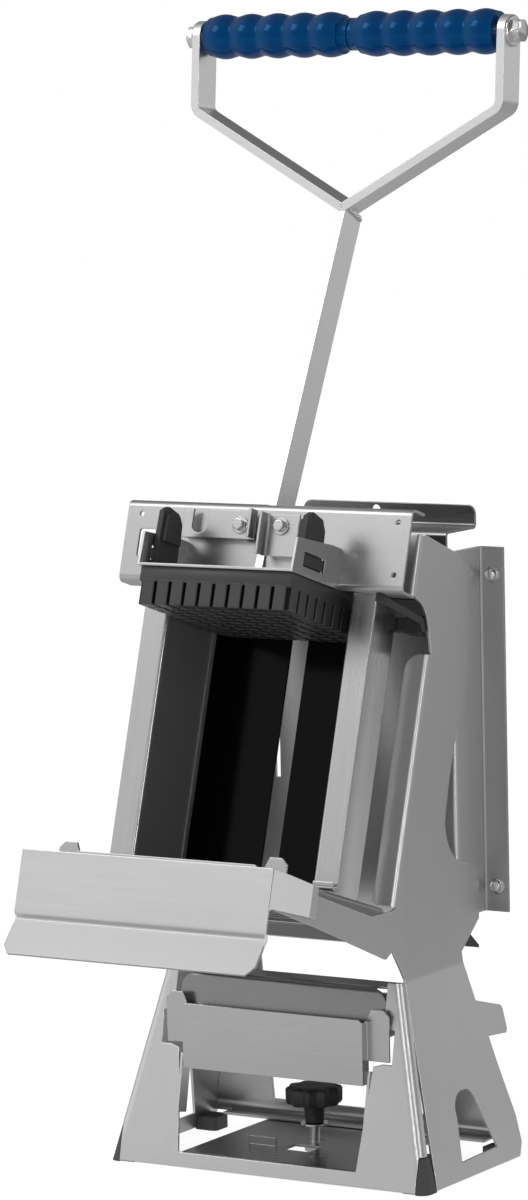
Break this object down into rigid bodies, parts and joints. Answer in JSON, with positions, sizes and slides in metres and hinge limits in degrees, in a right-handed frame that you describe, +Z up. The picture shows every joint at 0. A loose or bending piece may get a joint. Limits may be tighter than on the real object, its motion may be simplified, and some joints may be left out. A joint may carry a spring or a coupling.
{
  "type": "french fry cutter",
  "caption": "Wall or bench french fry cutter in folded satin steel: lever-driven pusher in a leaning chute over a crossed blade grid, lift-up door, spare blade cartridge stored in the base.",
  "frame": {"origin": "on the plane the four feet stand on, under the middle of the base", "axes": "+X to the operator's right, +Y back to the wall, +Z up"},
  "size_m": [0.2207, 0.279, 0.6572],
  "materials": {
    "sheet_satin": "satin stainless sheet with a fine grain",
    "bar_steel": "linished flat bar, grain along its length",
    "fastener_steel": "bright machined fasteners",
    "blade_steel": "thin ground blade strip",
    "black_plastic": "moulded black plastic",
    "blue_grip": "glossy blue moulded grip",
    "foot_rubber": "dull dark grey rubber"
  },
  "bodies": {
    "stand": {"blade_deck": "sheet_satin", "blades_crosswise": "blade_steel", "blades_lengthwise": "blade_steel", "cartridge_frame": "sheet_satin", "chute_brace": "sheet_satin", "clamp_stud": "fastener_steel", "feed_chute": "sheet_satin", "floor_plate": "sheet_satin", "foot_front_left": "foot_rubber", "foot_front_right": "foot_rubber", "foot_rear_left": "foot_rubber", "foot_rear_right": "foot_rubber", "front_panel": "sheet_satin", "hanger_plate": "sheet_satin", "rear_apron": "black_plastic", "rear_channel": "sheet_satin", "rear_panel": "sheet_satin", "side_plate_left": "sheet_satin", "side_plate_right": "sheet_satin", "storage_hood": "sheet_satin"},
    "carriage": {"carriage_yoke": "sheet_satin", "link_left": "black_plastic", "link_right": "black_plastic", "guide_bar": "black_plastic", "pusher_tray": "sheet_satin", "pusher_block": "black_plastic", "lever_bracket_left": "sheet_satin", "lever_bracket_right": "sheet_satin", "bracket_screws": "fastener_steel", "lever_bar": "bar_steel", "fork_arm_left": "bar_steel", "fork_arm_right": "bar_steel", "grip_left": "blue_grip", "grip_right": "blue_grip", "grip_rod": "fastener_steel", "rod_hardware": "fastener_steel"},
    "door": {"blade_door": "sheet_satin"},
    "spare_cartridge": {"spare_frame": "sheet_satin", "spare_blades_lengthwise": "blade_steel", "spare_blades_crosswise": "blade_steel"},
    "clamp_knob": {"clamp_knob": "black_plastic", "clamp_washer": "fastener_steel"},
    "catch_left": {"catch_left": "black_plastic"},
    "catch_right": {"catch_right": "black_plastic"}
  },
  "joints": [
    {"name": "carriage_slide", "type": "slide", "parent": "stand", "child": "carriage", "axis": [0, -0.3024, -0.9532], "range_m": [0, 0.159]},
    {"name": "door_hinge", "type": "hinge", "parent": "stand", "child": "door", "pos_m": [0, -0.16517, 0.193], "axis": [-1, 0, 0], "range_deg": [0, 100]},
    {"name": "spare_slide", "type": "slide", "parent": "stand", "child": "spare_cartridge", "axis": [0, -1, 0], "range_m": [0, 0.11]},
    {"name": "knob_turn", "type": "hinge", "parent": "stand", "child": "clamp_knob", "pos_m": [0, 0.0016, 0.028], "axis": [0, 0, 1], "continuous": true},
    {"name": "catch_left_squeeze", "type": "slide", "parent": "carriage", "child": "catch_left", "axis": [1, 0, 0], "range_m": [0, 0.0015], "stiffness_N_per_m": 900, "springref_m": -0.001},
    {"name": "catch_right_squeeze", "type": "slide", "parent": "carriage", "child": "catch_right", "axis": [-1, 0, 0], "range_m": [0, 0.0015], "stiffness_N_per_m": 900, "springref_m": -0.001}
  ]
}
